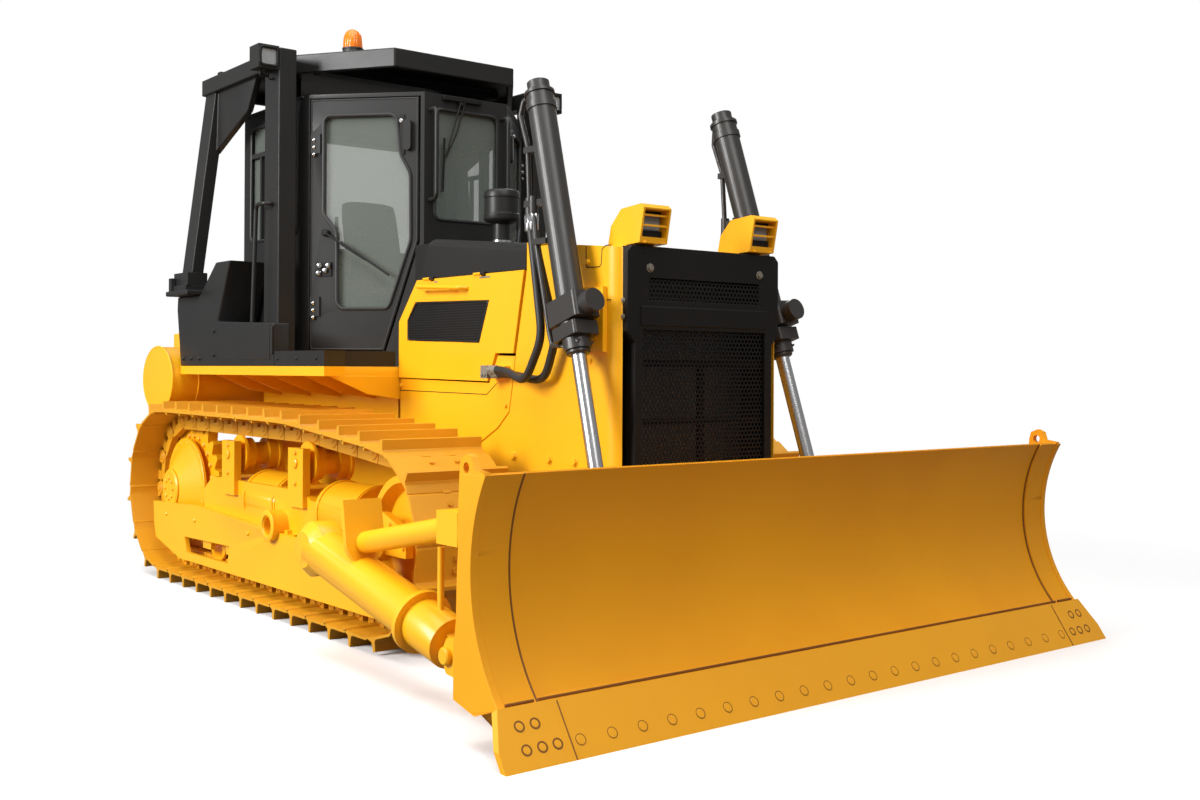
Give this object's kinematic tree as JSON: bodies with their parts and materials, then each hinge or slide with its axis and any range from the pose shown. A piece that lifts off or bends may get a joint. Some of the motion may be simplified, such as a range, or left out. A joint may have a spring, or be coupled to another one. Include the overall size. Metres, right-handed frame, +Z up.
{
  "type": "bulldozer",
  "caption": "Crawler bulldozer with an enclosed cab and roll-over frame, perforated front mask, twin front lift cylinders and a wide straight blade on push arms",
  "frame": {"origin": "on the ground under the middle of the whole machine, the blade included", "axes": "+X forwards, +Y to the left of the operator, +Z up"},
  "size_m": [5.14, 3.388, 3.205],
  "materials": {
    "beacon_amber": "gloss",
    "black_paint": "satin",
    "console_plastic": "matte",
    "cylinder_paint": "gloss",
    "edge_steel": "satin",
    "engine_iron": "matte",
    "hose_rubber": "satin",
    "lamp_lens": "gloss",
    "mask_black": "matte",
    "radiator_alloy": "satin",
    "rod_chrome": "gloss",
    "seat_fabric": "matte",
    "tinted_glass": "gloss",
    "yellow_paint": "gloss",
    "yellow_track": "satin"
  },
  "bodies": {
    "chassis": {"beacon": "beacon_amber", "cab_glass": "tinted_glass", "cab_shell": "black_paint", "carrier_rollers": "yellow_paint", "console": "console_plastic", "cowl": "black_paint", "cylinder_yokes": "yellow_paint", "drawbar": "yellow_paint", "engine": "engine_iron", "fender_boxes": "black_paint", "final_drives": "yellow_paint", "fuel_tank": "yellow_paint", "grab_rails": "black_paint", "headlamp_hoods": "yellow_paint", "headlamps": "lamp_lens", "hood": "black_paint", "hoses": "hose_rubber", "hull": "yellow_paint", "idlers": "yellow_paint", "mask": "mask_black", "nose": "yellow_paint", "platform": "yellow_paint", "platform_trim": "black_paint", "pre_cleaner": "black_paint", "radiator": "radiator_alloy", "roof": "black_paint", "rops_side_left": "black_paint", "rops_side_right": "black_paint", "seat": "seat_fabric", "side_panels": "yellow_paint", "sprockets": "yellow_paint", "tank_bracket": "yellow_paint", "track_frame_left": "yellow_paint", "track_frame_right": "yellow_paint", "track_left": "yellow_track", "track_right": "yellow_track", "track_rollers": "yellow_paint", "work_lamps": "black_paint"},
    "blade_assembly": {"blade": "yellow_paint", "cutting_edge": "edge_steel", "end_bits": "edge_steel", "blade_brackets": "yellow_paint", "push_arms": "yellow_paint", "braces": "yellow_paint"},
    "lift_barrel_left_body": {"lift_barrel_left": "cylinder_paint"},
    "lift_rod_left_body": {"lift_rod_left": "rod_chrome"},
    "cab_door_left_body": {"cab_door_left": "black_paint", "cab_door_glass_left": "tinted_glass"},
    "engine_door_left_body": {"engine_door_left": "yellow_paint"},
    "lift_barrel_right_body": {"lift_barrel_right": "cylinder_paint"},
    "lift_rod_right_body": {"lift_rod_right": "rod_chrome"},
    "cab_door_right_body": {"cab_door_right": "black_paint", "cab_door_glass_right": "tinted_glass"},
    "engine_door_right_body": {"engine_door_right": "yellow_paint"}
  },
  "joints": [
    {"name": "blade_lift", "type": "hinge", "parent": "chassis", "child": "blade_assembly", "pos_m": [0.64, 0, 0.467], "axis": [0, -1, 0], "range_deg": [-15, 32]},
    {"name": "barrel_swing_left", "type": "hinge", "parent": "chassis", "child": "lift_barrel_left_body", "pos_m": [1.44292, 0.60731, 1.5], "axis": [0, -1, 0], "range_deg": [-2.81, 5.88]},
    {"name": "rod_slide_left", "type": "slide", "parent": "lift_barrel_left_body", "child": "lift_rod_left_body", "axis": [0.298, 0.0406, -0.9537], "range_m": [-0.6164, 0.29]},
    {"name": "cab_door_left_hinge", "type": "hinge", "parent": "chassis", "child": "cab_door_left_body", "pos_m": [-0.8614, 0.7351, 2], "axis": [0, 0, 1], "range_deg": [0, 85]},
    {"name": "engine_door_left_hinge", "type": "hinge", "parent": "chassis", "child": "engine_door_left_body", "pos_m": [0.45, 0.503, 1.717], "axis": [1, 0, 0], "range_deg": [0, 75]},
    {"name": "barrel_swing_right", "type": "hinge", "parent": "chassis", "child": "lift_barrel_right_body", "pos_m": [1.44292, -0.60731, 1.5], "axis": [0, -1, 0], "range_deg": [-2.81, 5.88]},
    {"name": "rod_slide_right", "type": "slide", "parent": "lift_barrel_right_body", "child": "lift_rod_right_body", "axis": [0.298, -0.0406, -0.9537], "range_m": [-0.6164, 0.29]},
    {"name": "cab_door_right_hinge", "type": "hinge", "parent": "chassis", "child": "cab_door_right_body", "pos_m": [-0.8614, -0.7351, 2], "axis": [0, 0, -1], "range_deg": [0, 85]},
    {"name": "engine_door_right_hinge", "type": "hinge", "parent": "chassis", "child": "engine_door_right_body", "pos_m": [0.45, -0.503, 1.717], "axis": [-1, 0, 0], "range_deg": [0, 75]}
  ],
  "couplings": [
    {"joint": "barrel_swing_left", "follows": "blade_lift", "ratio": 0.18},
    {"joint": "rod_slide_left", "follows": "blade_lift", "m_per_rad": -1.1},
    {"joint": "barrel_swing_right", "follows": "blade_lift", "ratio": 0.18},
    {"joint": "rod_slide_right", "follows": "blade_lift", "m_per_rad": -1.1}
  ]
}
